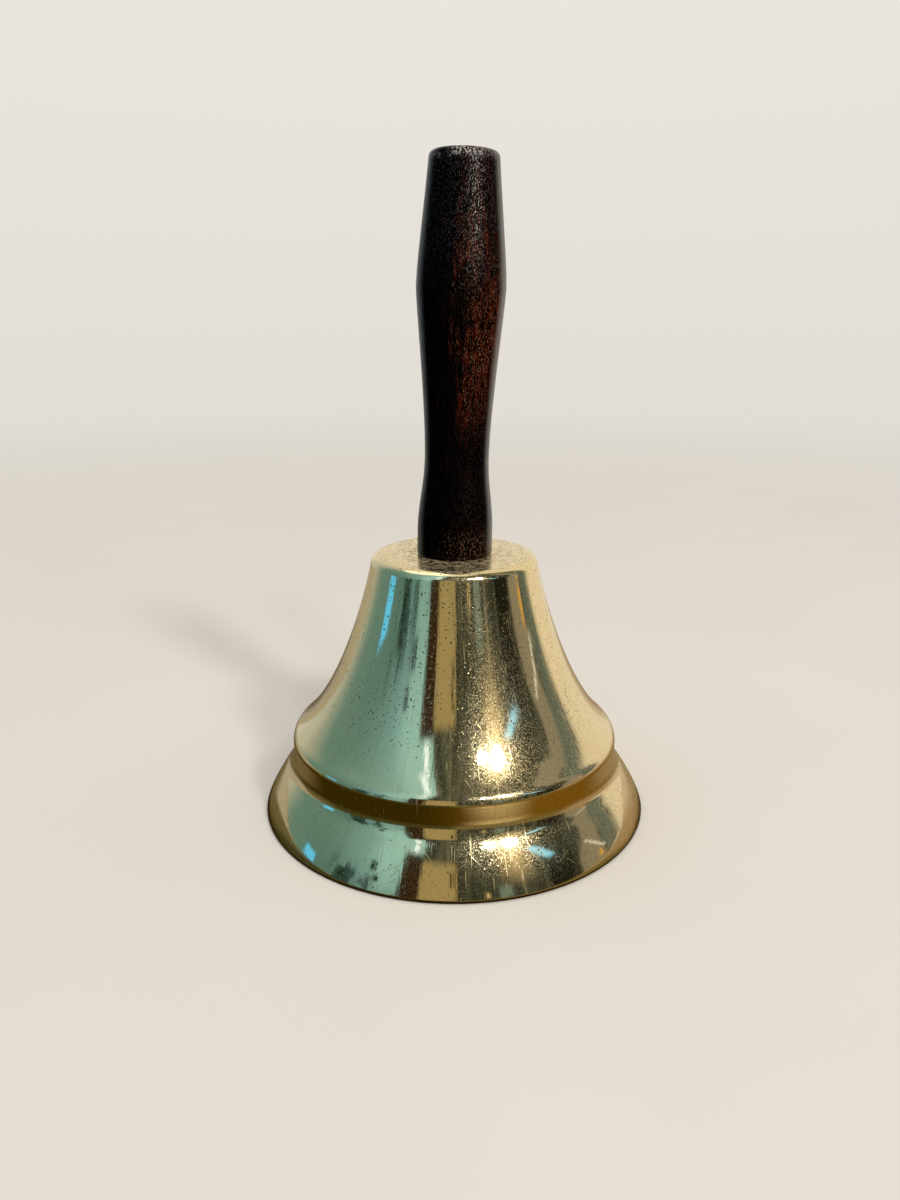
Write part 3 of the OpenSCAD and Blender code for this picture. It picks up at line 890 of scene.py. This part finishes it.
def room_panels(g, azimuth, rise):
    """Soft panels, each laid over those before it.
    A row gives the paint, what it turns by, its sides and their softness, and its ends and theirs."""
    leaning = g.math("MULTIPLY_ADD", rise, 1.2, azimuth)
    bend = g.times(g.span(rise, 8, 22, 0.0, 9.5), g.span(rise, 31, 38, 1.0, 0.0))
    bending = g.math("SUBTRACT", azimuth, bend)
    cool = cool_box(g, azimuth, rise)
    wall = colour(0.86, 0.815, 0.715)
    left_wall = colour(0.53, 0.60, 0.63)
    blotch = colour(0.014, 0.032, 0.030)
    lamp = colour(1.05, 1.4, 2.0)
    return (
        # The cool box, a blue gap and three dark blotches in it
        (cool, azimuth, (-130, -31), (12, 1.5), (-80, 80), 12),
        (colour(0.14, 0.78, 1.8), azimuth, (-92.5, -83.5), (0.8, 0.8), (0.8, 6.8), 0.8),
        (blotch, azimuth, (-67.5, -62), (0.8, 0.8), (5.5, 12), 1.2),
        (blotch, azimuth, (-46.5, -42.5), (0.8, 0.8), (13, 17), 1.2),
        (blotch, azimuth, (-49.5, -46), (0.8, 0.8), (18.8, 23.4), 1.2),
        # A dark brown post, with more of the cool box and two lamps above it
        (colour(0.032, 0.014, 0.005), azimuth, (-30, -20), (2, 1), (-80, 34), 3),
        (cool, azimuth, (-33, -19), (1.5, 1.5), (34, 80), 3),
        (lamp, azimuth, (-27, -23.5), (1, 1), (35, 52), 3),
        (lamp, azimuth, (-32, -26), (2, 2), (50, 66), 4),
        # A tan board with a dark slit
        (colour(0.39, 0.33, 0.185), azimuth, (-19, 1), (1, 1), (-80, 31), 2.5),
        (colour(0.010, 0.008, 0.004), azimuth, (-2.4, -1.0), (0.4, 0.4), (18, 27), 1),
        # A warm glow, two narrow strips and a dark corner
        (colour(0.62, 0.52, 0.33), azimuth, (30, 45), (8, 8), (22, 52), 12),
        (colour(0.80, 0.66, 0.34), azimuth, (17, 19), (0.6, 0.6), (5, 12), 2),
        (colour(0.17, 0.26, 0.29), azimuth, (25, 32), (1.5, 1.5), (2, 16), 3),
        (colour(0.008, 0.009, 0.006), azimuth, (53, 71), (3, 3), (-80, 18), 6),
        # A blue patch, a grey post with an orange spot, and a darker strip
        (colour(0.40, 1.1, 2.1), leaning, (81.5, 87), (1.5, 1.5), (21, 30.5), 1.5),
        (colour(0.28, 0.27, 0.24), bending, (74.5, 93), (2.5, 2), (-80, 62), 8),
        (colour(0.75, 0.45, 0.11), azimuth, (88.3, 91.5), (0.8, 0.8), (1.8, 5), 0.6),
        (colour(0.115, 0.16, 0.165), azimuth, (95, 110), (2, 4), (-80, 62), 8),
        # The pale walls beside and behind, with a white and a dark line near the right one
        (left_wall, azimuth, (-200, -122.7), (16, 14), (-80, 75), 14),
        (wall, azimuth, (-200, -150), (16, 14), (-80, 75), 14),
        (wall, azimuth, (109.5, 200), (5, 4), (-80, 75), 14),
        (colour(0.85, 0.90, 1.0), leaning, (99, 100.8), (0.5, 0.5), (4.5, 14), 1),
        (colour(0.05, 0.055, 0.05), azimuth, (107.6, 109), (0.5, 0.5), (6, 24), 2),
    )


def make_surroundings():
    """What the brass mirrors all round, even soft light on everything else, and a plain pale backdrop."""
    world = bpy.data.worlds.new("studio")
    world.use_nodes = True
    bpy.context.scene.world = world
    g = Graph(world.node_tree)
    x, y, z = g.split(g.add("ShaderNodeTexCoord").outputs["Generated"])
    azimuth = g.math("DEGREES", g.math("ARCTAN2", x, g.times(y, -1.0)))
    rise = g.math("DEGREES", g.math("ARCSINE", z))
    light = dim_room(g, azimuth, rise)
    for paint, turn, sides, soft_sides, ends, soft_end in room_panels(g, azimuth, rise):
        upward = g.between(rise, ends, (soft_end, soft_end))
        light = g.mix(g.times(g.between(turn, sides, soft_sides), upward), light, paint)
    light = g.mix(g.span(rise, 70, 78), light, colour(0.90, 0.88, 0.82))
    light = g.mix(g.span(rise, -40, -14, 1.0, 0.0), light, colour(0.66, 0.63, 0.58))
    backdrop = g.mix(g.span(rise, -20, 30), colour(0.74, 0.70, 0.635), colour(0.84, 0.81, 0.755))
    paths = g.add("ShaderNodeLightPath").outputs
    light = g.mix(paths["Is Diffuse Ray"], light, colour(0.66, 0.64, 0.61))
    background = world.node_tree.nodes["Background"]
    g.put(background.inputs["Color"], g.mix(paths["Is Camera Ray"], light, backdrop))
    background.inputs["Strength"].default_value = 1.0


# Lamps and camera

def soft_light(name, azimuth, rise, away, size, power, tint):
    """An area light that looks at the bell."""
    a, e = math.radians(azimuth), math.radians(rise)
    back = Vector((math.sin(a) * math.cos(e), -math.cos(a) * math.cos(e), math.sin(e)))
    data = bpy.data.lights.new(name, "AREA")
    data.shape = "ELLIPSE"
    data.size, data.size_y = size
    data.energy = power
    data.color = tint
    lamp = bpy.data.objects.new(name, data)
    lamp.location = LAMP_AIM + back * away
    lamp.rotation_euler = back.to_track_quat("Z", "Y").to_euler()
    bpy.context.scene.collection.objects.link(lamp)
    return lamp


def keep_light_on(lamp, piece):
    """Lets a lamp light one piece alone."""
    lit = bpy.data.collections.new(lamp.name)
    lit.objects.link(piece)
    lamp.light_linking.receiver_collection = lit


def make_camera():
    data = bpy.data.cameras.new("camera")
    data.lens = CAMERA_LENS
    data.sensor_width = CAMERA_SENSOR
    data.clip_start = CAMERA_NEAR
    camera = bpy.data.objects.new("camera", data)
    camera.location = CAMERA_AT
    camera.rotation_euler = (math.radians(90 - CAMERA_TILT), 0, 0)
    bpy.context.scene.collection.objects.link(camera)
    bpy.context.scene.camera = camera


make_bell()
wooden_handle = make_handle()
dress_hardware()
make_floor()
make_surroundings()
lamps = {name: soft_light(name, **setting) for name, setting in LAMPS.items()}
keep_light_on(lamps["sheen"], wooden_handle)
lamps["under"].visible_camera = False
make_camera()
bpy.context.scene.view_settings.view_transform = "Standard"
